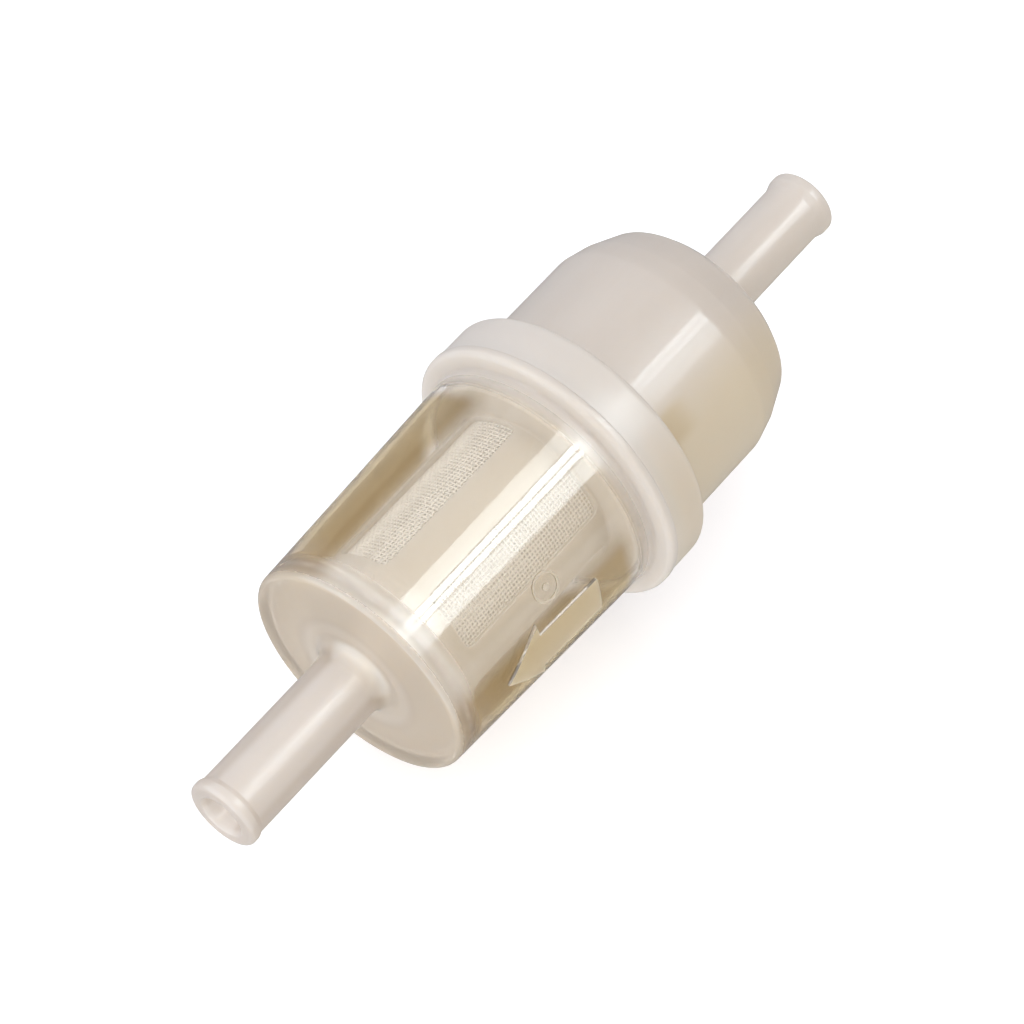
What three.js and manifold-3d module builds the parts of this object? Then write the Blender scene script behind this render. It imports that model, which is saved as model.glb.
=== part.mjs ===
// In-line fuel filter: two moulded half-shells welded at a flange, a moulded
// strainer frame inside the clear half, and a fine mesh sleeve inside the frame.
//
// Millimetres, +Z up. The filter lies along X: fuel enters at the +X tube (cap)
// and leaves at the -X tube (cup). The origin is the centre of the bounding box,
// on the filter's axis. Stations along the filter are measured from the outlet
// tube's mouth and called s; X = s - LENGTH / 2. Angles round the axis are
// measured from +Z towards -Y.
import * as THREE from 'three';
import { mergeVertices } from 'three/addons/utils/BufferGeometryUtils.js';
import Module from 'manifold-3d';

const wasm = await Module();
wasm.setup();

// ---------------------------------------------------------------- dimensions
const SEGMENTS = 48;            // facets round every turned surface
const GAP = 0.3;                // clearance between neighbouring pieces

const LENGTH = 101.5;           // outlet mouth to inlet mouth
const BORE_R = 2.5;             // fuel passage in both tubes
const MOUTH_R = 2.8;            // chamfered mouth of the passage

const OUTLET_TUBE_R = 4.05;     // hose tube on the cup
const OUTLET_BEAD_R = 4.35;
const INLET_TUBE_R = 3.8;       // hose tube on the cap
const INLET_BEAD_R = 4.15;

const CUP_FACE_S = 21.9;       // outer face of the cup's end wall
const CUP_FLOOR_S = 23.9;       // inner face of the end wall
const CUP_END_R = 13.92;        // outside of the cup just past its end radius
const CUP_MOUTH_R = 15.1;       // outside of the cup where it meets the lip
const CUP_EDGE = 0.8;           // rounding of the cup's closed end
const CUP_WALL = 0.85;
const LIP_NEAR_S = 53.7;        // lip ring round the cup's mouth
const LIP_FAR_S = 54.9;
const LIP_R = 17.3;

const SKIRT_R = 17.15;          // skirt ring of the cap
const SKIRT_FAR_S = 60.5;
const CAP_R = 14.75;
const CAP_WALL = 1.3;
const CAP_FACE_S = 81.5;        // outer face of the cap's end wall
const CAP_FLOOR_S = 79.9;       // inner face of the end wall
const SEAT_R = 16.5;            // counterbore that holds the strainer's rim
const SEAT_S = 56.4;

const CAGE_R = 10.35;           // strainer frame, outside of the ribs
const CAGE_IN_R = 9.75;
const CAGE_BOTTOM_S = 26.4;
const CAGE_FLOOR_S = 27.5;
const PLATE_S = 51.6;           // near face of the frame's annular plate
const PLATE_T = 1.0;
const PLUG_R = 13.8;            // part of the frame that plugs the cup's mouth
const RIM_R = 16.2;             // rim clamped at the weld
const RIM_T = 0.9;
const WINDOW_COUNT = 5;
const WINDOW_W = 7.3;           // straight-sided windows between the ribs
const WINDOW_NEAR_S = 29.0;
const WINDOW_FAR_S = 51.2;
const WINDOW_ANGLE = 42;      // angle of the first window's middle

const MESH_R = 9.45;            // mesh sleeve, outside
const MESH_T = 0.3;

const RELIEF_H = 0.35;          // height of the raised arrow
const ARROW_ANGLE = 81.5;       // angle of the arrow's middle line
const ARROW_TIP_S = 29.7;
const ARROW_BARB_S = 35.3;
const ARROW_TAIL_S = 44.5;
const ARROW_HEAD_W = 8.0;
const ARROW_SHAFT_W = 5.0;
const MARK_ANGLE = 55.8;        // round mould mark
const MARK_S = 38.6;
const MARK_R = 1.8;
const MARK_LINE = 0.35;
const MARK_H = 0.25;

// ------------------------------------------------------------------- helpers
const X = (s) => s - LENGTH / 2;
const rad = (deg) => (deg * Math.PI) / 180;

function signedVolume(geometry) {
  const p = geometry.attributes.position, index = geometry.index;
  const a = new THREE.Vector3(), b = new THREE.Vector3(), c = new THREE.Vector3();
  let volume = 0;
  for (let i = 0; i < index.count; i += 3) {
    a.fromBufferAttribute(p, index.getX(i));
    b.fromBufferAttribute(p, index.getX(i + 1));
    c.fromBufferAttribute(p, index.getX(i + 2));
    volume += a.dot(b.cross(c)) / 6;
  }
  return volume;
}

// Shared vertices merged, empty triangles dropped, faces pointing out.
function closed(geometry, tolerance = 1e-4) {
  let g = geometry.clone();
  g.deleteAttribute('normal');
  g.deleteAttribute('uv');
  g = mergeVertices(g, tolerance);
  const index = g.index, kept = [];
  for (let i = 0; i < index.count; i += 3) {
    const t = [index.getX(i), index.getX(i + 1), index.getX(i + 2)];
    if (t[0] !== t[1] && t[1] !== t[2] && t[2] !== t[0]) kept.push(...t);
  }
  g.setIndex(kept);
  if (signedVolume(g) < 0) {
    for (let i = 0; i < kept.length; i += 3) [kept[i], kept[i + 1]] = [kept[i + 1], kept[i]];
    g.setIndex(kept);
  }
  return g;
}

function solidOf(geometry) {
  const g = closed(geometry);
  return new wasm.Manifold(new wasm.Mesh({
    numProp: 3,
    vertProperties: new Float32Array(g.attributes.position.array),
    triVerts: new Uint32Array(g.index.array),
  }));
}

function geometryOf(solid) {
  const mesh = solid.getMesh();
  const n = mesh.numProp, count = mesh.vertProperties.length / n;
  const position = new Float32Array(count * 3);
  for (let i = 0; i < count; i++) {
    for (let k = 0; k < 3; k++) position[3 * i + k] = mesh.vertProperties[n * i + k];
  }
  const g = new THREE.BufferGeometry();
  g.setAttribute('position', new THREE.BufferAttribute(position, 3));
  g.setIndex(new THREE.BufferAttribute(new Uint32Array(mesh.triVerts), 1));
  g.computeVertexNormals();
  return g;
}

// An arc in the (s, r) profile plane, from angle a0 to a1 in degrees, where
// 0 degrees points along +s and 90 degrees points away from the axis.
function arc(s, r, radius, a0, a1, steps) {
  const points = [];
  for (let i = 0; i <= steps; i++) {
    const a = rad(a0 + ((a1 - a0) * i) / steps);
    points.push([s + radius * Math.cos(a), r + radius * Math.sin(a)]);
  }
  return points;
}

// A solid turned round the X axis from a closed (s, r) outline.
function turned(outline) {
  const points = outline.map(([s, r]) => new THREE.Vector2(Math.max(r, 0), X(s)));
  if (!points[0].equals(points[points.length - 1]) && points[0].x > 0) points.push(points[0].clone());
  const g = new THREE.LatheGeometry(points, SEGMENTS);
  g.rotateZ(-Math.PI / 2);
  return solidOf(g);
}

// Turns an object that stands on the +Z side to an angle round the X axis.
const about = (geometry, angle) => geometry.rotateX(rad(angle));

// A straight prism on a flat outline of [s, across] points, standing radially at
// an angle round the axis, from radius r0 to r1.
function stud(outline, angle, r0, r1, holes = []) {
  const shape = new THREE.Shape(outline.map(([s, w]) => new THREE.Vector2(X(s), w)));
  for (const hole of holes) shape.holes.push(new THREE.Path(hole.map(([s, w]) => new THREE.Vector2(X(s), w))));
  const g = new THREE.ExtrudeGeometry(shape, { depth: r1 - r0, bevelEnabled: false, steps: 1 });
  g.translate(0, 0, r0);
  return solidOf(about(g, angle));
}

const ring = (s, radius, steps) =>
  Array.from({ length: steps }, (_, i) => {
    const a = (2 * Math.PI * i) / steps;
    return [s + radius * Math.cos(a), radius * Math.sin(a)];
  });

const cupOuter = (s) =>
  CUP_END_R + ((CUP_MOUTH_R - CUP_END_R) * (s - CUP_FACE_S - CUP_EDGE)) / (LIP_NEAR_S - CUP_FACE_S - CUP_EDGE);
const cupInner = (s) => cupOuter(s) - CUP_WALL;

// ---------------------------------------------------------------- outlet cup
// Tube with its bead, end wall, tapered cup, lip ring; then back inside.
const cupOutline = [
  [0, MOUTH_R], [0, OUTLET_BEAD_R - 0.65],
  ...arc(0.65, OUTLET_BEAD_R - 0.65, 0.65, 160, 80, 4),
  [1.1, OUTLET_BEAD_R - 0.05], [1.75, OUTLET_TUBE_R],
  ...arc(CUP_FACE_S - 2.0, OUTLET_TUBE_R + 2.0, 2.0, -90, 0, 6),
  [CUP_FACE_S, CUP_END_R - CUP_EDGE],
  ...arc(CUP_FACE_S + CUP_EDGE, CUP_END_R - CUP_EDGE, CUP_EDGE, 162, 90, 5),
  [LIP_NEAR_S - 0.5, cupOuter(LIP_NEAR_S - 0.5)],
  [LIP_NEAR_S - 0.12, cupOuter(LIP_NEAR_S) + 0.12],
  [LIP_NEAR_S, cupOuter(LIP_NEAR_S) + 0.5],
  [LIP_NEAR_S, LIP_R - 0.9],
  ...arc(LIP_NEAR_S + 0.9, LIP_R - 0.9, 0.9, 155, 90, 4),
  [LIP_FAR_S, LIP_R],
  [LIP_FAR_S, cupInner(LIP_FAR_S)],
  [CUP_FLOOR_S + 2.0, cupInner(CUP_FLOOR_S + 2.0)],
  ...arc(CUP_FLOOR_S + 2.0, cupInner(CUP_FLOOR_S + 2.0) - 2.0, 2.0, 105, 180, 5),
  [CUP_FLOOR_S, BORE_R + 0.8],
  [CUP_FLOOR_S - 0.8, BORE_R],
  [0.3, BORE_R],
];
const arrow = [
  [ARROW_TIP_S, 0],
  [ARROW_BARB_S, -ARROW_HEAD_W / 2], [ARROW_BARB_S, -ARROW_SHAFT_W / 2],
  [ARROW_TAIL_S, -ARROW_SHAFT_W / 2], [ARROW_TAIL_S, ARROW_SHAFT_W / 2],
  [ARROW_BARB_S, ARROW_SHAFT_W / 2], [ARROW_BARB_S, ARROW_HEAD_W / 2],
];
const reliefShell = (height) => turned([
  [25, cupInner(25) + 0.35], [25, cupOuter(25) + height],
  [52, cupOuter(52) + height], [52, cupInner(52) + 0.35],
]);
const relief = stud(arrow, ARROW_ANGLE, 11, 17).intersect(reliefShell(RELIEF_H));
const mark = stud(ring(MARK_S, MARK_R, 24), MARK_ANGLE, 11, 17, [ring(MARK_S, MARK_R - MARK_LINE, 24)])
  .add(stud(ring(MARK_S, 0.45, 10), MARK_ANGLE, 11, 17))
  .intersect(reliefShell(MARK_H));
const outletCup = turned(cupOutline).add(relief).add(mark);

// ----------------------------------------------------------------- inlet cap
// Skirt ring, cap, chamfered shoulder, end wall, tube with its bead; back inside.
const SKIRT_NEAR_S = LIP_FAR_S + GAP;
const capOutline = [
  [SKIRT_NEAR_S, SEAT_R], [SKIRT_NEAR_S, SKIRT_R - 0.15], [SKIRT_NEAR_S + 0.15, SKIRT_R],
  ...arc(SKIRT_FAR_S - 1.6, SKIRT_R - 1.6, 1.6, 90, 0, 5),
  [SKIRT_FAR_S, CAP_R + 0.5], [SKIRT_FAR_S + 0.15, CAP_R + 0.12], [SKIRT_FAR_S + 0.55, CAP_R],
  [73.8, CAP_R], [74.6, CAP_R - 0.12], [75.5, CAP_R - 0.4], [76.8, CAP_R - 0.98],
  [78.4, 13.22], [79.7, 12.66],
  ...arc(79.9, 11.1, 1.6, 72, 0, 5),
  [CAP_FACE_S, 5.4],
  ...arc(CAP_FACE_S + 1.4, INLET_TUBE_R + 1.4, 1.4, 180, 270, 4),
  [LENGTH - 2.3, INLET_TUBE_R], [LENGTH - 1.3, INLET_BEAD_R - 0.03],
  [LENGTH - 0.75, INLET_BEAD_R],
  ...arc(LENGTH - 0.55, INLET_BEAD_R - 0.5, 0.5, 60, 15, 3),
  [LENGTH, INLET_BEAD_R - 0.5],
  [LENGTH, MOUTH_R], [LENGTH - 0.3, BORE_R],
  [CAP_FLOOR_S + 0.8, BORE_R], [CAP_FLOOR_S, BORE_R + 0.8],
  [CAP_FLOOR_S, 9.4],
  ...arc(CAP_FLOOR_S - 1.6, 9.4, 1.6, 0, 65, 4),
  [74.0, CAP_R - CAP_WALL - 0.35], [72.9, CAP_R - CAP_WALL],
  [SEAT_S, CAP_R - CAP_WALL],
  [SEAT_S, SEAT_R],
];
const inletCap = turned(capOutline);

// ------------------------------------------------------------ strainer frame
const RIM_S = LIP_FAR_S + GAP;
const frameOutline = [
  [CAGE_BOTTOM_S, 0], [CAGE_BOTTOM_S, CAGE_R - 0.4], [CAGE_BOTTOM_S + 0.4, CAGE_R],
  [PLATE_S, CAGE_R], [PLATE_S, PLUG_R - 0.3], [PLATE_S + 0.3, PLUG_R],
  [RIM_S, PLUG_R], [RIM_S, RIM_R], [RIM_S + RIM_T, RIM_R],
  [RIM_S + RIM_T, PLUG_R - 1.0], [PLATE_S + PLATE_T, PLUG_R - 1.0],
  [PLATE_S + PLATE_T, CAGE_IN_R],
  [CAGE_FLOOR_S, CAGE_IN_R], [CAGE_FLOOR_S, 0],
];
let strainerFrame = turned(frameOutline);
for (let i = 0; i < WINDOW_COUNT; i++) {
  const w = WINDOW_W / 2, c = 0.6;
  strainerFrame = strainerFrame.subtract(stud([
    [WINDOW_NEAR_S, -w + c], [WINDOW_NEAR_S + c, -w], [WINDOW_FAR_S - c, -w], [WINDOW_FAR_S, -w + c],
    [WINDOW_FAR_S, w - c], [WINDOW_FAR_S - c, w], [WINDOW_NEAR_S + c, w], [WINDOW_NEAR_S, w - c],
  ], WINDOW_ANGLE + (360 / WINDOW_COUNT) * i, 7, 13));
}

// ------------------------------------------------------------- strainer mesh
const strainerMesh = turned([
  [CAGE_FLOOR_S + GAP, MESH_R - MESH_T], [CAGE_FLOOR_S + GAP, MESH_R],
  [PLATE_S + PLATE_T - 0.4, MESH_R], [PLATE_S + PLATE_T - 0.4, MESH_R - MESH_T],
]);

// --------------------------------------------------------------------- group
const pieces = [
  ['outlet_cup', outletCup, { color: 0xcfc0a2, roughness: 0.12, metalness: 0, transparent: true, opacity: 0.45 }],
  ['inlet_cap', inletCap, { color: 0xd9d4d0, roughness: 0.2, metalness: 0, transparent: true, opacity: 0.8 }],
  ['strainer_frame', strainerFrame, { color: 0xd6d0ca, roughness: 0.25, metalness: 0 }],
  ['strainer_mesh', strainerMesh, { color: 0xe6e4df, roughness: 0.6, metalness: 0 }],
];

const group = new THREE.Group();
for (const [name, solid, look] of pieces) {
  const mesh = new THREE.Mesh(geometryOf(solid), new THREE.MeshStandardMaterial(look));
  mesh.name = name;
  group.add(mesh);
}

export default group;
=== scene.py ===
import bpy
import bmesh
import math
from mathutils import Matrix, Vector


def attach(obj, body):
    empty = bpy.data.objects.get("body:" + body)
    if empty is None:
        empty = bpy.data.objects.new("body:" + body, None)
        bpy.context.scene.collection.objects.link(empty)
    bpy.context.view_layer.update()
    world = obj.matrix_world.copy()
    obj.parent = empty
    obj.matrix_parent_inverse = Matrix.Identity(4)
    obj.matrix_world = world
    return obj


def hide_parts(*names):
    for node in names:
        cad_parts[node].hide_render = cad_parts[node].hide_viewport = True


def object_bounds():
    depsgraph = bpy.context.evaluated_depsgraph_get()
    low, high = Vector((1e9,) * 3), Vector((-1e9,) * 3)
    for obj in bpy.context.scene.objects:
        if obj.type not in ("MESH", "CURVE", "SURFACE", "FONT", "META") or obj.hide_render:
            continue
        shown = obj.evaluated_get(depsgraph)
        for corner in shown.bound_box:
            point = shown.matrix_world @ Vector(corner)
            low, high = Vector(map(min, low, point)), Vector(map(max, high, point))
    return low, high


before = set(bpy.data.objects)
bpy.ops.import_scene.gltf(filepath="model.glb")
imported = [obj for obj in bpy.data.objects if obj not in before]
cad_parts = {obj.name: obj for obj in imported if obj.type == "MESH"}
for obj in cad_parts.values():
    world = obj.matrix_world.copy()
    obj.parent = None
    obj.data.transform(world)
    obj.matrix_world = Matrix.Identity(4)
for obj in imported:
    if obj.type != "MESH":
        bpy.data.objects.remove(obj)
CAD_LO, CAD_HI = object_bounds()

scene = bpy.context.scene
MM = 0.001
PI = math.pi

# The filter lies along X. A station s is millimetres from the outlet mouth, an
# angle psi is measured round X from +Z towards -Y, and both agree with the CAD.
LENGTH = (CAD_HI.x - CAD_LO.x) / MM


def X(s):
    return CAD_LO.x / MM + s


# ------------------------------------------------------------------ sizes (mm)
CUP_FACE = 21.9
CUP_FLOOR = 23.9
CUP_END_R = 13.92
CUP_MOUTH_R = 15.1
CUP_TAPER = (CUP_MOUTH_R - CUP_END_R) / 31.0
LIP_NEAR = 53.7
WELD = 55.05
LIP_R = 17.3
TUBE_OUT_R = 4.05
TUBE_IN_R = 3.8
CAGE_R = 10.35
CAGE_IN_R = 9.75
WINDOWS, WINDOW_W, WINDOW_NEAR, WINDOW_FAR, WINDOW_ANGLE = 5, 7.3, 29.0, 51.2, 42.0
ARROW_ANGLE, ARROW_TIP, ARROW_BARB, ARROW_TAIL = 81.5, 29.7, 35.3, 44.5
ARROW_HEAD_W, ARROW_SHAFT_W, RELIEF = 8.0, 5.0, 0.35
MARK_ANGLE, MARK_S, MARK_R = 55.8, 38.6, 1.8


def cup_outer(s):
    return CUP_END_R + CUP_TAPER * (s - 22.7)


def cup_inner(s):
    return cup_outer(s) - 0.85


# ------------------------------------------------------------- mesh making
def rounded(points, steps=6):
    """A closed outline of (s, r, radius) corners, with an arc at each corner that has a radius."""
    out, n = [], len(points)
    for i, (s, r, radius) in enumerate(points):
        p = Vector((s, r))
        a = Vector(points[i - 1][:2])
        b = Vector(points[(i + 1) % n][:2])
        da, db = (a - p), (b - p)
        la, lb = da.length, db.length
        if radius <= 0 or la < 1e-9 or lb < 1e-9:
            out.append((s, r))
            continue
        da.normalize()
        db.normalize()
        ang = math.acos(max(-1.0, min(1.0, da.dot(db))))
        if ang > math.radians(177):
            out.append((s, r))
            continue
        t = min(radius / math.tan(ang / 2), 0.49 * la, 0.49 * lb)
        radius = t * math.tan(ang / 2)
        c = p + (da + db).normalized() * (radius / math.sin(ang / 2))
        v0, v1 = p + da * t - c, p + db * t - c
        a0, a1 = math.atan2(v0.y, v0.x), math.atan2(v1.y, v1.x)
        d = (a1 - a0 + PI) % (2 * PI) - PI
        k = max(2, round(steps * max(abs(d) / (PI / 2), 0.35) * (1.0 + min(radius, 2.0) / 2)))
        for j in range(k + 1):
            q = a0 + d * j / k
            out.append((c.x + radius * math.cos(q), c.y + radius * math.sin(q)))
    return out


def new_object(name, bm):
    me = bpy.data.meshes.new(name)
    bm.to_mesh(me)
    bm.free()
    ob = bpy.data.objects.new(name, me)
    scene.collection.objects.link(ob)
    return ob


def lathe(name, outline, segs=160):
    """A closed solid turned round X from a closed (s, r) outline."""
    bm = bmesh.new()
    rings = []
    for s, r in outline:
        if r < 1e-6:
            rings.append([bm.verts.new((X(s) * MM, 0, 0))])
        else:
            rings.append([
                bm.verts.new((X(s) * MM, -r * math.sin(2 * PI * k / segs) * MM, r * math.cos(2 * PI * k / segs) * MM))
                for k in range(segs)
            ])
    for i, A in enumerate(rings):
        B = rings[(i + 1) % len(rings)]
        if len(A) == 1 and len(B) == 1:
            continue
        for k in range(segs):
            j = (k + 1) % segs
            if len(A) == 1:
                bm.faces.new((A[0], B[k], B[j]))
            elif len(B) == 1:
                bm.faces.new((A[k], B[0], A[j]))
            else:
                bm.faces.new((A[k], B[k], B[j], A[j]))
    bmesh.ops.recalc_face_normals(bm, faces=bm.faces[:])
    return new_object(name, bm)


def radial_point(s, across, psi, r):
    """A point at station s and radius r on the direction psi, moved across it (mm in, metres out)."""
    c, q = math.cos(psi), math.sin(psi)
    return Vector((X(s), across * c - r * q, across * q + r * c)) * MM


def prism(name, outline, psi_deg, r0, r1):
    """A straight prism on an (s, across) outline, standing radially from r0 to r1."""
    psi = math.radians(psi_deg)
    bm = bmesh.new()
    low = [bm.verts.new(radial_point(s, w, psi, r0)) for s, w in outline]
    high = [bm.verts.new(radial_point(s, w, psi, r1)) for s, w in outline]
    n = len(outline)
    bm.faces.new(low)
    bm.faces.new(high)
    for i in range(n):
        bm.faces.new((low[i], low[(i + 1) % n], high[(i + 1) % n], high[i]))
    bmesh.ops.recalc_face_normals(bm, faces=bm.faces[:])
    return new_object(name, bm)


def evaluated(ob):
    """Applies the object's modifiers to its mesh."""
    dg = bpy.context.evaluated_depsgraph_get()
    me = bpy.data.meshes.new_from_object(ob.evaluated_get(dg))
    ob.modifiers.clear()
    old = ob.data
    ob.data = me
    bpy.data.meshes.remove(old)
    return ob


def boolean(a, b, operation):
    m = a.modifiers.new("cut", "BOOLEAN")
    m.operation, m.object, m.solver = operation, b, "EXACT"
    evaluated(a)
    bpy.data.objects.remove(b)
    return a


def bevelled(ob, width, segments=2, angle=40):
    m = ob.modifiers.new("edge", "BEVEL")
    m.width, m.segments, m.limit_method, m.angle_limit = width * MM, segments, "ANGLE", math.radians(angle)
    m.use_clamp_overlap = True
    return evaluated(ob)


def smooth(ob, angle=32):
    me = ob.data
    for p in me.polygons:
        p.use_smooth = True
    me.set_sharp_from_angle(angle=math.radians(angle))
    return ob


def weighted(ob):
    m = ob.modifiers.new("normals", "WEIGHTED_NORMAL")
    m.keep_sharp = True
    m.mode = "FACE_AREA"
    return evaluated(ob)


def tidy(ob):
    """Drops doubled vertices and empty faces left by a boolean."""
    bm = bmesh.new()
    bm.from_mesh(ob.data)
    bmesh.ops.remove_doubles(bm, verts=bm.verts[:], dist=2e-7)
    bmesh.ops.dissolve_degenerate(bm, edges=bm.edges[:], dist=1e-7)
    bm.to_mesh(ob.data)
    bm.free()
    return ob


# -------------------------------------------------------------- node helper
class Look:
    """A material made of nodes."""

    def __init__(self, name):
        self.mat = bpy.data.materials.new(name)
        self.mat.use_nodes = True
        self.nt = self.mat.node_tree
        self.nt.nodes.clear()
        self.out = self.nt.nodes.new("ShaderNodeOutputMaterial")

    def node(self, kind, **settings):
        n = self.nt.nodes.new("ShaderNode" + kind)
        for k, v in settings.items():
            setattr(n, k, v)
        return n

    def put(self, socket, value):
        if isinstance(value, bpy.types.NodeSocket):
            self.nt.links.new(value, socket)
        elif isinstance(value, (tuple, list)) and len(value) == 3 and len(socket.default_value) == 4:
            socket.default_value = (*value, 1.0)
        else:
            socket.default_value = value

    def math(self, op, a, b=0.0, c=0.0, clamp=False):
        n = self.node("Math", operation=op, use_clamp=clamp)
        for i, v in enumerate((a, b, c)):
            self.put(n.inputs[i], v)
        return n.outputs[0]

    def mix(self, factor, a, b):
        n = self.node("Mix", data_type="RGBA")
        self.put(n.inputs[0], factor)
        self.put(n.inputs[6], a)
        self.put(n.inputs[7], b)
        return n.outputs[2]

    def blend(self, factor, a, b):
        n = self.node("Mix", data_type="FLOAT")
        self.put(n.inputs[0], factor)
        self.put(n.inputs[2], a)
        self.put(n.inputs[3], b)
        return n.outputs[0]

    def step(self, value, low, high, a=0.0, b=1.0):
        n = self.node("MapRange", interpolation_type="SMOOTHSTEP")
        self.put(n.inputs[0], value)
        for i, v in enumerate((low, high, a, b)):
            n.inputs[i + 1].default_value = v
        return n.outputs[0]

    def curve(self, value, stops, top=102.0):
        """A piecewise line through (station, amount) stops."""
        n = self.node("ValToRGB")
        e = n.color_ramp.elements
        while len(e) > 2:
            e.remove(e[-1])
        for i, (at, amount) in enumerate(stops):
            p = e[i] if i < 2 else e.new(at / top)
            p.position = at / top
            p.color = (amount, amount, amount, 1)
        self.put(n.inputs[0], self.math("DIVIDE", value, top))
        return n.outputs[0]

    def place(self):
        """The piece's own coordinates, its station and its radius in millimetres."""
        co = self.node("TexCoord").outputs["Object"]
        xyz = self.node("SeparateXYZ")
        self.put(xyz.inputs[0], co)
        s = self.math("MULTIPLY_ADD", xyz.outputs[0], 1000.0, -X(0.0))
        yy = self.math("MULTIPLY", xyz.outputs[1], xyz.outputs[1])
        rr = self.math("MULTIPLY_ADD", xyz.outputs[2], xyz.outputs[2], yy)
        r = self.math("MULTIPLY", self.math("SQRT", rr), 1000.0)
        return co, s, r

    def low_side(self, co):
        """How far a point lies towards the lower side, in millimetres."""
        xyz = self.node("SeparateXYZ")
        self.put(xyz.inputs[0], co)
        return self.math("MULTIPLY_ADD", xyz.outputs[2], -368.1, self.math("MULTIPLY", xyz.outputs[1], -929.8))

    def noise(self, co, scale, detail=2.0, rough=0.5, stretch=None):
        if stretch:
            m = self.node("Mapping")
            self.put(m.inputs[0], co)
            m.inputs[3].default_value = stretch
            co = m.outputs[0]
        n = self.node("TexNoise")
        self.put(n.inputs["Vector"], co)
        n.inputs["Scale"].default_value = scale
        n.inputs["Detail"].default_value = detail
        n.inputs["Roughness"].default_value = rough
        return n.outputs[0]

    def bump(self, height, strength, distance):
        n = self.node("Bump")
        n.inputs["Strength"].default_value = strength
        n.inputs["Distance"].default_value = distance
        self.put(n.inputs["Height"], height)
        return n.outputs[0]

    def finish(self, shader, lamp_tint=None):
        """lamp_tint is what a lamp's light keeps as it goes through this surface."""
        if lamp_tint is not None:
            path = self.node("LightPath")
            through = self.math("MAXIMUM", path.outputs["Is Shadow Ray"], path.outputs["Is Diffuse Ray"])
            clear = self.node("BsdfTransparent")
            self.put(clear.inputs[0], lamp_tint)
            m = self.node("MixShader")
            self.put(m.inputs[0], through)
            self.nt.links.new(shader, m.inputs[1])
            self.nt.links.new(clear.outputs[0], m.inputs[2])
            shader = m.outputs[0]
        self.nt.links.new(shader, self.out.inputs[0])
        return self.mat


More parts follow.
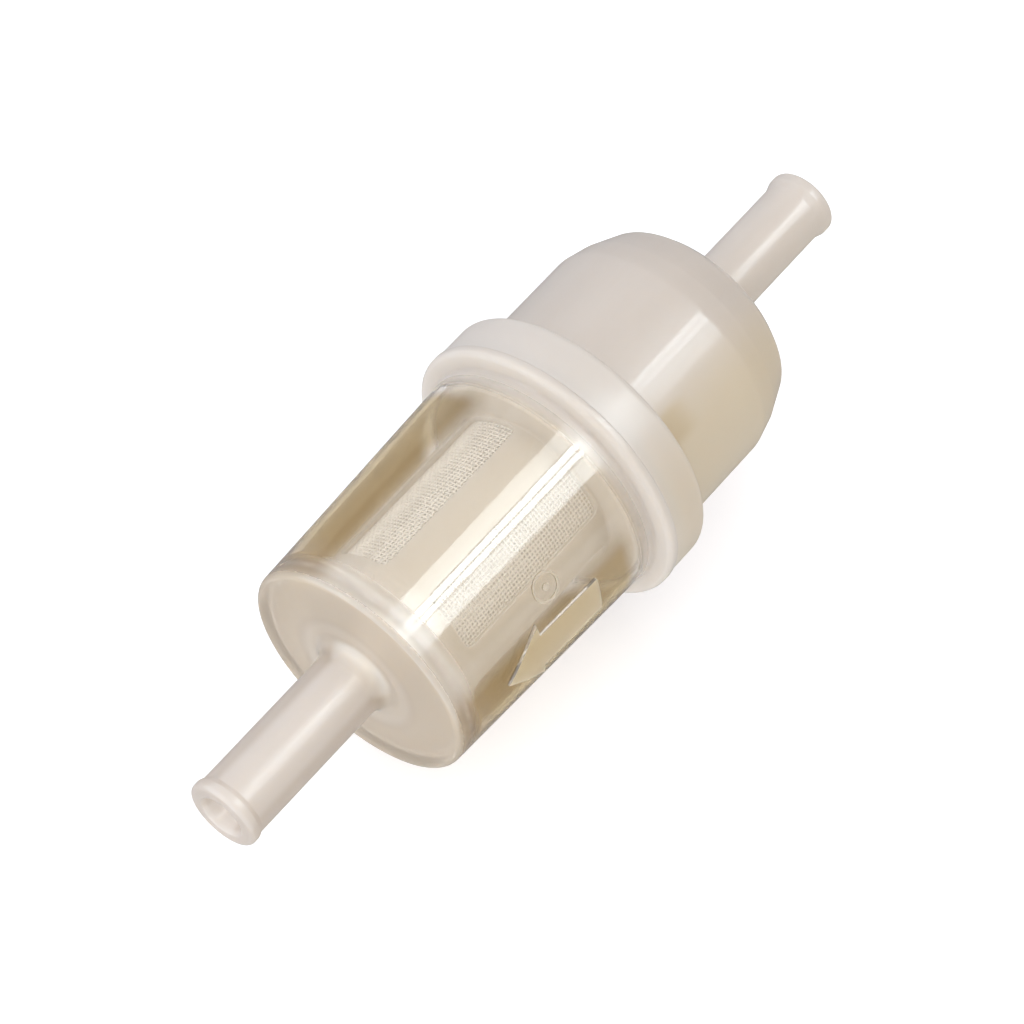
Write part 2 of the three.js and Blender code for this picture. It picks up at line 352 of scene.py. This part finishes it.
# ---------------------------------------------------------------- materials
def clear_moulding():
    """The cup: clear side wall that is straw-coloured at a slant, partly for the longer path through the wall and
    partly as painted shade, with darker painted shade at the grazing edges and painted light round the tube root;
    cloudy where the moulding is thick.
    """
    k = Look("clear_moulding")
    co, s, r = k.place()
    milk = k.curve(s, [(0, 0.85), (19, 0.82), (22.2, 0.66), (23.6, 0.42), (25.5, 0.12), (28.0, 0.03), (51.3, 0.03), (52.6, 0.55), (53.4, 0.92), (102, 0.92)])
    outer = k.math("MULTIPLY_ADD", s, CUP_TAPER, CUP_END_R - 22.7 * CUP_TAPER)
    raised = k.math("MULTIPLY", k.step(k.math("SUBTRACT", r, outer), 0.01, 0.10), k.step(s, 52.5, 51.5))
    raised = k.math("MULTIPLY", raised, k.step(s, 27.0, 28.0))
    cloud = k.noise(co, 90.0, 3.0, 0.55)
    flow = k.noise(co, 60.0, 3.0, 0.5, (1.0, 6.0, 6.0))
    grain = k.noise(co, 2600.0, 2.0, 0.6)
    straw = k.mix(k.step(cloud, 0.3, 0.7), (0.920, 0.903, 0.865), (0.940, 0.925, 0.890))
    white = k.mix(k.step(flow, 0.3, 0.7), (0.705, 0.665, 0.625), (0.680, 0.642, 0.605))
    # Slant tint: partly the longer path through the wall, partly painted shade standing for the shadow seen through
    # it.
    edge = k.node("LayerWeight")
    edge.inputs[0].default_value = 0.5
    slant_tint_shade = k.math("MULTIPLY", k.step(edge.outputs["Facing"], 0.24, 0.44), k.step(s, 51.5, 48.5))
    straw = k.mix(slant_tint_shade, straw, k.mix(cloud, (0.33, 0.235, 0.10), (0.37, 0.265, 0.125)))
    # Painted shade: the grazing edges of the clear wall are darkened further.
    painted_edge_shade = k.math("MULTIPLY", k.step(edge.outputs["Facing"], 0.50, 0.72), k.step(s, 51.5, 48.5))
    straw = k.mix(painted_edge_shade, straw, (0.31, 0.21, 0.075))
    # The raised arrow follows the same slant mask, so its tint is partly painted shade too.
    straw = k.mix(raised, straw, k.mix(slant_tint_shade, (0.88, 0.845, 0.765), (0.66, 0.57, 0.40)))
    white = k.mix(k.step(s, 19.0, 21.5), (0.668, 0.642, 0.632), white)
    wall = k.math("MULTIPLY", k.step(r, 6.8, 8.6), k.step(s, 23.6, 22.6))
    white = k.mix(wall, white, k.mix(flow, (0.770, 0.725, 0.662), (0.795, 0.755, 0.695)))
    white = k.mix(k.step(s, 52.2, 53.2), white, k.mix(flow, (0.735, 0.700, 0.665), (0.755, 0.722, 0.690)))
    # Painted light: the end face round the tube root is made lighter to lift the shade that falls there.
    painted_light_hub = k.math("MULTIPLY", k.step(r, 8.0, 6.5), k.math("MULTIPLY", k.step(s, 20.5, 21.6), k.step(s, 23.8, 23.2)))
    white = k.mix(painted_light_hub, white, (0.86, 0.835, 0.80))
    base = k.mix(milk, straw, white)
    p = k.node("BsdfPrincipled")
    k.put(p.inputs["Base Color"], base)
    haze = k.math("ADD", milk, k.math("MULTIPLY", raised, k.step(slant_tint_shade, 0.0, 1.0, 0.25, 0.60)), clamp=True)
    k.put(p.inputs["Transmission Weight"], k.math("MULTIPLY_ADD", haze, -0.80, 1.0))
    rough = k.math("MULTIPLY_ADD", haze, 0.40, 0.022)
    k.put(p.inputs["Roughness"], k.math("MULTIPLY_ADD", grain, 0.02, rough))
    p.inputs["IOR"].default_value = 1.5
    p.inputs["Subsurface Weight"].default_value = 1.0
    p.inputs["Subsurface Radius"].default_value = (1.0, 0.92, 0.82)
    p.inputs["Subsurface Scale"].default_value = 0.0035
    k.put(p.inputs["Coat Weight"], k.curve(s, [(0, 0.25), (19, 0.25), (21.8, 0.45), (26.0, 0.45), (28.0, 0.0), (51.5, 0.0), (54.0, 0.35), (102, 0.35)]))
    p.inputs["Coat Roughness"].default_value = 0.07
    p.inputs["Coat IOR"].default_value = 1.5
    k.put(p.inputs["Normal"], k.bump(k.math("MULTIPLY_ADD", grain, 0.15, flow), 0.08, 0.0002))
    return k.finish(p.outputs[0], k.mix(milk, (0.95, 0.92, 0.86), (0.80, 0.78, 0.77)))


def milky_moulding():
    """The cap: cloudy natural plastic with a glossy skin."""
    k = Look("milky_moulding")
    co, s, r = k.place()
    cloud = k.noise(co, 70.0, 3.0, 0.5)
    flow = k.noise(co, 50.0, 4.0, 0.55, (1.0, 5.0, 5.0))
    grain = k.noise(co, 2400.0, 2.0, 0.6)
    a = k.mix(k.step(cloud, 0.3, 0.7), (0.640, 0.615, 0.595), (0.665, 0.640, 0.622))
    b = k.mix(k.step(flow, 0.35, 0.65), (0.640, 0.618, 0.602), (0.670, 0.650, 0.635))
    base = k.mix(0.5, a, b)
    low = k.low_side(co)
    # Painted shade: the lower side of the cap is made darker and warmer.
    base = k.mix(k.step(low, 1.0, 9.5), base, k.mix(cloud, (0.675, 0.625, 0.530), (0.705, 0.655, 0.560)))
    # Painted shade: a darker tan patch beside the flange, standing in for the shaded inside seen through the wall.
    painted_see_through_shade = k.math("MULTIPLY", k.step(low, 4.2, 5.4), k.step(low, 9.0, 7.6))
    painted_see_through_shade = k.math("MULTIPLY", painted_see_through_shade, k.step(s, 66.0, 62.5, 0.0, 0.75))
    base = k.mix(painted_see_through_shade, base, (0.585, 0.520, 0.395))
    skirt = k.mix(flow, (0.695, 0.678, 0.662), (0.715, 0.700, 0.688))
    # Painted shade: the flange's lower side is made warmer as well.
    skirt = k.mix(k.step(low, 2.0, 13.0), skirt, (0.700, 0.655, 0.580))
    base = k.mix(k.step(s, 60.8, 60.2), base, skirt)
    p = k.node("BsdfPrincipled")
    k.put(p.inputs["Base Color"], base)
    body = k.curve(s, [(0, 0.4), (55, 0.15), (60, 0.15), (61.5, 0.26), (79, 0.26), (82, 0.24), (102, 0.3)])
    k.put(p.inputs["Transmission Weight"], body)
    k.put(p.inputs["Roughness"], k.math("MULTIPLY_ADD", grain, 0.06, 0.30))
    p.inputs["IOR"].default_value = 1.5
    p.inputs["Subsurface Weight"].default_value = 1.0
    p.inputs["Subsurface Radius"].default_value = (1.0, 0.92, 0.85)
    p.inputs["Subsurface Scale"].default_value = 0.0035
    k.put(p.inputs["Coat Weight"], k.curve(s, [(0, 0.10), (60.4, 0.10), (61.2, 0.35), (102, 0.35)]))
    p.inputs["Coat Roughness"].default_value = 0.06
    p.inputs["Coat IOR"].default_value = 1.5
    k.put(p.inputs["Normal"], k.bump(k.math("MULTIPLY_ADD", grain, 0.15, flow), 0.10, 0.0002))
    return k.finish(p.outputs[0], (0.82, 0.80, 0.78))


def frame_moulding():
    k = Look("frame_moulding")
    co, s, r = k.place()
    flow = k.noise(co, 80.0, 3.0, 0.55, (1.0, 4.0, 4.0))
    grain = k.noise(co, 2200.0, 2.0, 0.6)
    base = k.mix(k.step(flow, 0.3, 0.7), (0.680, 0.655, 0.622), (0.705, 0.682, 0.652))
    # Painted shade: the frame's inner wall is made darker.
    painted_inner_shade = k.math("MULTIPLY", k.step(r, 10.1, 9.8), k.step(s, 52.6, 52.0))
    base = k.mix(painted_inner_shade, base, (0.66, 0.62, 0.56))
    p = k.node("BsdfPrincipled")
    k.put(p.inputs["Base Color"], base)
    p.inputs["Transmission Weight"].default_value = 0.20
    p.inputs["Subsurface Weight"].default_value = 1.0
    p.inputs["Subsurface Radius"].default_value = (1.0, 0.93, 0.85)
    p.inputs["Subsurface Scale"].default_value = 0.002
    k.put(p.inputs["Roughness"], k.math("MULTIPLY_ADD", grain, 0.08, 0.33))
    p.inputs["IOR"].default_value = 1.5
    p.inputs["Coat Weight"].default_value = 0.5
    p.inputs["Coat Roughness"].default_value = 0.15
    k.put(p.inputs["Normal"], k.bump(k.math("MULTIPLY_ADD", grain, 0.2, flow), 0.12, 0.0002))
    return k.finish(p.outputs[0], (0.80, 0.77, 0.73))


def mesh_thread():
    k = Look("mesh_thread")
    co, s, r = k.place()
    lot = k.noise(co, 700.0, 2.0, 0.6)
    fine = k.noise(co, 9000.0, 2.0, 0.6)
    p = k.node("BsdfPrincipled")
    # Painted shade: threads are dark towards the inside and in the hollows of the weave, light on the outer crowns.
    k.put(p.inputs["Base Color"], k.mix(k.step(r, 9.32, 9.54), (0.47, 0.435, 0.385), k.mix(k.step(lot, 0.3, 0.7), (0.90, 0.885, 0.865), (0.94, 0.928, 0.912))))
    k.put(p.inputs["Roughness"], k.math("MULTIPLY_ADD", fine, 0.2, 0.3))
    p.inputs["Specular IOR Level"].default_value = 0.5
    p.inputs["Sheen Weight"].default_value = 0.2
    k.put(p.inputs["Normal"], k.bump(fine, 0.15, 0.00002))
    return k.finish(p.outputs[0])


def floor_look():
    k = Look("pale_floor")
    co = k.node("TexCoord").outputs["Object"]
    soft = k.noise(co, 6.0, 2.0, 0.5)
    grain = k.noise(co, 900.0, 2.0, 0.6)
    p = k.node("BsdfPrincipled")
    k.put(p.inputs["Base Color"], k.mix(soft, (0.925, 0.925, 0.925), (0.935, 0.935, 0.935)))
    p.inputs["Emission Color"].default_value = (0.93, 1.04, 1.25, 1.0)
    p.inputs["Emission Strength"].default_value = 0.27
    p.inputs["Roughness"].default_value = 0.85
    p.inputs["Specular IOR Level"].default_value = 0.1
    k.put(p.inputs["Normal"], k.bump(grain, 0.03, 0.0002))
    return k.finish(p.outputs[0])


# ---------------------------------------------------------------- outlet cup
cup = lathe("filter_outlet_cup", rounded([
    (0.0, 2.72, 0.25), (0.0, 4.32, 0.62), (1.22, 4.30, 0.35), (1.80, 4.05, 0.5),
    (CUP_FACE, TUBE_OUT_R, 2.0), (CUP_FACE, CUP_END_R - 0.03, 0.75),
    (LIP_NEAR, cup_outer(LIP_NEAR), 0.35), (LIP_NEAR, LIP_R, 0.85), (WELD - 0.02, LIP_R, 0.10),
    (WELD - 0.02, cup_inner(WELD), 0.1), (CUP_FLOOR, cup_inner(CUP_FLOOR), 2.0),
    (CUP_FLOOR, 2.5, 0.8), (0.5, 2.5, 0.4),
]))


def relief_shell(height):
    return lathe("shell", [(25, cup_inner(25) + 0.35), (25, cup_outer(25) + height), (52, cup_outer(52) + height), (52, cup_inner(52) + 0.35)])


h, w = ARROW_HEAD_W / 2, ARROW_SHAFT_W / 2
arrow = prism("arrow", [(ARROW_TIP, 0), (ARROW_BARB, -h), (ARROW_BARB, -w), (ARROW_TAIL, -w), (ARROW_TAIL, w), (ARROW_BARB, w), (ARROW_BARB, h)], ARROW_ANGLE, 11, 17)
boolean(arrow, relief_shell(RELIEF), "INTERSECT")
bevelled(arrow, 0.17, 3, 50)
ring = [(MARK_S + MARK_R * math.cos(2 * PI * i / 48), MARK_R * math.sin(2 * PI * i / 48)) for i in range(48)]
hole = [(MARK_S + (MARK_R - 0.32) * math.cos(2 * PI * i / 48), (MARK_R - 0.32) * math.sin(2 * PI * i / 48)) for i in range(48)]
dot = [(MARK_S + 0.45 * math.cos(2 * PI * i / 20), 0.45 * math.sin(2 * PI * i / 20)) for i in range(20)]
mark = prism("mark", ring, MARK_ANGLE, 11, 17)
boolean(mark, prism("hole", hole, MARK_ANGLE, 10, 18), "DIFFERENCE")
boolean(mark, prism("dot", dot, MARK_ANGLE, 11, 17), "UNION")
boolean(mark, relief_shell(0.15), "INTERSECT")
boolean(cup, arrow, "UNION")
boolean(cup, mark, "UNION")
tidy(cup)
smooth(cup, 28)
weighted(cup)

# ----------------------------------------------------------------- inlet cap
cap = lathe("filter_inlet_cap", rounded([
    (WELD + 0.02, 16.5, 0.05), (WELD + 0.02, 17.15, 0.10), (60.5, 17.15, 1.55),
    (60.5, 14.75, 0.45), (73.8, 14.75, 3.0), (76.6, 14.05, 2.5), (80.4, 12.45, 1.6), (81.5, 11.0, 0.9),
    (81.5, TUBE_IN_R, 1.4), (99.2, TUBE_IN_R, 0.6), (100.25, 4.15, 0.4), (LENGTH, 4.15, 0.5),
    (LENGTH, 2.72, 0.25), (LENGTH - 0.5, 2.5, 0.4), (79.9, 2.5, 0.8), (79.9, 10.8, 1.6),
    (74.2, 13.12, 1.5), (72.6, 13.45, 1.0), (56.4, 13.45, 0.2), (56.4, 16.5, 0.15),
]))
smooth(cap, 28)

# ------------------------------------------------------------ strainer frame
cage = lathe("filter_strainer_frame", rounded([
    (26.4, 0, 0), (26.4, CAGE_R, 0.5), (51.6, CAGE_R, 0.3), (51.6, 13.8, 0.35), (54.9, 13.8, 0.1),
    (55.15, 13.8, 0), (55.15, 16.3, 0.1), (56.2, 16.3, 0.15), (56.2, 12.8, 0.25), (52.6, 12.8, 0.4), (52.6, CAGE_IN_R, 0.2),
    (27.5, CAGE_IN_R, 0.4), (27.5, 0, 0),
]), 144)
for i in range(WINDOWS):
    hw, cr = WINDOW_W / 2, 0.9
    corners = [(WINDOW_NEAR, -hw), (WINDOW_FAR, -hw), (WINDOW_FAR, hw), (WINDOW_NEAR, hw)]
    outline = rounded([(a, b, cr) for a, b in corners], 5)
    boolean(cage, prism("window", outline, WINDOW_ANGLE + 360 / WINDOWS * i, 8.0, 12.0), "DIFFERENCE")
tidy(cage)
bevelled(cage, 0.2, 3, 55)
smooth(cage, 30)
weighted(cage)


# ------------------------------------------------------------- strainer mesh
def woven_sleeve(name, radius, s0, s1, pitch, thread):
    """Plain weave round the frame: straight threads along X, hoops round it."""
    around = 2 * round(2 * PI * radius / pitch / 2)
    rows = round((s1 - s0) / pitch)
    step = (s1 - s0) / rows
    lift = thread * 0.42
    bm = bmesh.new()

    def tube(points, radials, sides, closed):
        rings = []
        for i, (p, out) in enumerate(zip(points, radials)):
            q = points[(i + 1) % len(points)] if closed or i + 1 < len(points) else p
            o = points[i - 1] if closed or i > 0 else p
            along = (q - o).normalized()
            side = along.cross(out).normalized()
            up = side.cross(along)
            rings.append([
                bm.verts.new((p + (side * math.cos(2 * PI * (m + 0.5) / sides) + up * math.sin(2 * PI * (m + 0.5) / sides)) * thread / 2) * MM)
                for m in range(sides)
            ])
        count = len(rings)
        for i in range(count if closed else count - 1):
            A, B = rings[i], rings[(i + 1) % count]
            for m in range(sides):
                bm.faces.new((A[m], B[m], B[(m + 1) % sides], A[(m + 1) % sides]))
        if not closed:
            bm.faces.new(rings[0])
            bm.faces.new(list(reversed(rings[-1])))

    for a in range(around):
        psi = 2 * PI * a / around
        out = Vector((0, -math.sin(psi), math.cos(psi)))
        pts, ups = [], []
        for i in range(2 * rows + 1):
            up = lift * math.cos(PI * (i / 2 - 0.5 + a))  # hoops sit at half steps
            pts.append(Vector((X(s0 + step * i / 2), 0, 0)) + out * (radius + up))
            ups.append(out)
        tube(pts, ups, 4, False)
    for i in range(rows):
        pts, ups = [], []
        for a in range(around):
            psi = 2 * PI * a / around
            out = Vector((0, -math.sin(psi), math.cos(psi)))
            up = -lift * math.cos(PI * (i + a))
            pts.append(Vector((X(s0 + step * (i + 0.5)), 0, 0)) + out * (radius + up))
            ups.append(out)
        tube(pts, ups, 4, True)
    bmesh.ops.recalc_face_normals(bm, faces=bm.faces[:])
    return new_object(name, bm)


cloth = woven_sleeve("filter_strainer_mesh", 9.5, 27.75, 52.4, 0.47, 0.21)
for f in cloth.data.polygons:
    f.use_smooth = True

# ------------------------------------------------------- names, slots, bodies
for ob, node, slot, look in (
    (cup, "outlet_cup", "clear_cup", clear_moulding()),
    (cap, "inlet_cap", "milky_cap", milky_moulding()),
    (cage, "strainer_frame", "frame_plastic", frame_moulding()),
    (cloth, "strainer_mesh", "mesh_cloth", mesh_thread()),
):
    ob.data.materials.clear()
    ob.data.materials.append(look)
    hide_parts(node)
    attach(ob, "root")

# --------------------------------------------------------------------- floor
bm = bmesh.new()
bmesh.ops.create_grid(bm, x_segments=24, y_segments=24, size=6.0)
floor = new_object("floor", bm)
floor.location = (0, 0, CAD_LO.z - 0.0006)
floor.data.materials.append(floor_look())
floor.visible_glossy = False

# -------------------------------------------------------------------- camera
PHI, EL = math.radians(51.69), math.radians(56.79)
R = Vector((math.cos(PHI), -math.sin(PHI), 0))
H = Vector((math.sin(PHI), math.cos(PHI), 0))
F = H * math.cos(EL) - Vector((0, 0, 1)) * math.sin(EL)
U = H * math.sin(EL) + Vector((0, 0, 1)) * math.cos(EL)
along = R * 0.6811 + U * 0.7322
across = R * 0.7322 - U * 0.6811
aim = Vector((X(49.2), 0, 0)) * MM
cam = bpy.data.objects.new("camera", bpy.data.cameras.new("camera"))
scene.collection.objects.link(cam)
cam.matrix_world = Matrix.Translation(aim - along * 0.00109 + across * 0.00020 - F * 0.4473) @ Matrix((R, U, -F)).transposed().to_4x4()
cam.data.sensor_width = 36.0
cam.data.lens = 4149.6 / 1024 * 36.0
cam.data.clip_start, cam.data.clip_end = 0.01, 20.0
cam.data.dof.use_dof = False
scene.camera = cam

# -------------------------------------------------------------------- lights
FACING = math.radians(21.6)
UP = Vector((0, -math.sin(FACING), math.cos(FACING)))     # radially, on the side that faces the camera
SIDE = Vector((0, -math.cos(FACING), -math.sin(FACING)))  # round the filter, towards +psi
AX = Vector((1, 0, 0))


def strip(name, centre, long_dir, look_at, length, width, power, colour=(1, 1, 1)):
    """An area light facing look_at, with its long side along long_dir."""
    data = bpy.data.lights.new(name, "AREA")
    data.shape, data.size, data.size_y = "RECTANGLE", length, width
    data.energy, data.color = power, colour
    ob = bpy.data.objects.new(name, data)
    scene.collection.objects.link(ob)
    z = (centre - look_at).normalized()
    x = (long_dir - z * long_dir.dot(z)).normalized()
    y = z.cross(x)
    ob.matrix_world = Matrix.Translation(centre) @ Matrix((x, y, z)).transposed().to_4x4()
    return ob


def radiance(value, length, width):
    return value * PI * length * width


# A window-like soft light in four panes, so that its reflection has fine dark bars.
HIGH = 0.5
for name, x0, x1, a, b, value in (
    ("a", 0.09, 0.255, -0.138, -0.006, 3.1), ("b", 0.09, 0.355, 0.006, 0.050, 10.5),
    ("c", 0.09, 0.355, 0.062, 0.106, 10.5), ("d", 0.09, 0.400, 0.118, 0.275, 4.5),
):
    centre = AX * (x0 + x1) / 2 + SIDE * (a + b) / 2 + UP * HIGH
    pane = strip("key_" + name, centre, AX, centre - UP, x1 - x0, b - a, radiance(value, x1 - x0, b - a), (0.90, 1.0, 1.06))
    pane.visible_camera = pane.visible_diffuse = False

# A small bright window behind the outlet end, which draws fine streaks on the rounded edges.
window = strip("window", Vector((-0.770, 0.536, 0.348)) * 0.9, Vector((0, 0, 1)), Vector((0, 0, 0)), 0.24, 0.10, radiance(9.0, 0.24, 0.10), (0.98, 1.0, 1.0))
window.visible_camera = window.visible_diffuse = False

# Broad light without an edge or a shadow of its own, from above and from the outlet end.
for name, centre, size, value in (("top", Vector((-0.1, 0.15, 1.3)), 1.8, 1.15), ("end", Vector((-1.2, 0.10, 0.40)), 1.0, 1.9)):
    fill = strip("fill_" + name, centre, SIDE, Vector((0, 0, 0)), size, size, radiance(value, size, size), (1.0, 0.99, 0.98))
    fill.visible_glossy = fill.visible_camera = False
    fill.data.use_shadow = False

# The room: bright above a straight edge, dimmer and cooler behind, warmer in front.
world = bpy.data.worlds.new("world")
scene.world = world
world.use_nodes = True
wt = world.node_tree
bg = wt.nodes["Background"]
split = wt.nodes.new("ShaderNodeSeparateXYZ")
wt.links.new(wt.nodes.new("ShaderNodeTexCoord").outputs["Generated"], split.inputs[0])


def world_math(op, *values):
    n = wt.nodes.new("ShaderNodeMath")
    n.operation = op
    for i, v in enumerate(values):
        if isinstance(v, bpy.types.NodeSocket):
            wt.links.new(v, n.inputs[i])
        else:
            n.inputs[i].default_value = v
    return n.outputs[0]


rise = world_math("MULTIPLY_ADD", split.outputs[1], -0.198, world_math("MULTIPLY", split.outputs[2], 0.98))
sky = wt.nodes.new("ShaderNodeValToRGB")
wt.links.new(rise, sky.inputs[0])
sky.color_ramp.elements[0].position, sky.color_ramp.elements[0].color = 0.20, (0.50, 0.50, 0.50, 1)
sky.color_ramp.elements[1].position, sky.color_ramp.elements[1].color = 0.27, (0.88, 0.88, 0.88, 1)
tone = wt.nodes.new("ShaderNodeValToRGB")
wt.links.new(world_math("MULTIPLY_ADD", split.outputs[1], 0.5, 0.5), tone.inputs[0])
tone.color_ramp.elements[0].position, tone.color_ramp.elements[0].color = 0.15, (0.98, 0.85, 0.67, 1)
tone.color_ramp.elements[1].position, tone.color_ramp.elements[1].color = 0.85, (1.02, 1.0, 1.03, 1)
both = wt.nodes.new("ShaderNodeMix")
both.data_type, both.blend_type = "RGBA", "MULTIPLY"
both.inputs[0].default_value = 1.0
wt.links.new(sky.outputs[0], both.inputs[6])
wt.links.new(tone.outputs[0], both.inputs[7])
wt.links.new(both.outputs[2], bg.inputs[0])
bg.inputs[1].default_value = 0.70

# ------------------------------------------------------------------- picture
scene.view_settings.view_transform = "Standard"
scene.view_settings.look = "None"
scene.view_settings.exposure = 0.0
scene.cycles.max_bounces = 24
scene.cycles.diffuse_bounces = 5
scene.cycles.glossy_bounces = 8
scene.cycles.transmission_bounces = 20
scene.cycles.transparent_max_bounces = 32
scene.cycles.caustics_reflective = False
scene.cycles.caustics_refractive = False
scene.cycles.sample_clamp_indirect = 6.0
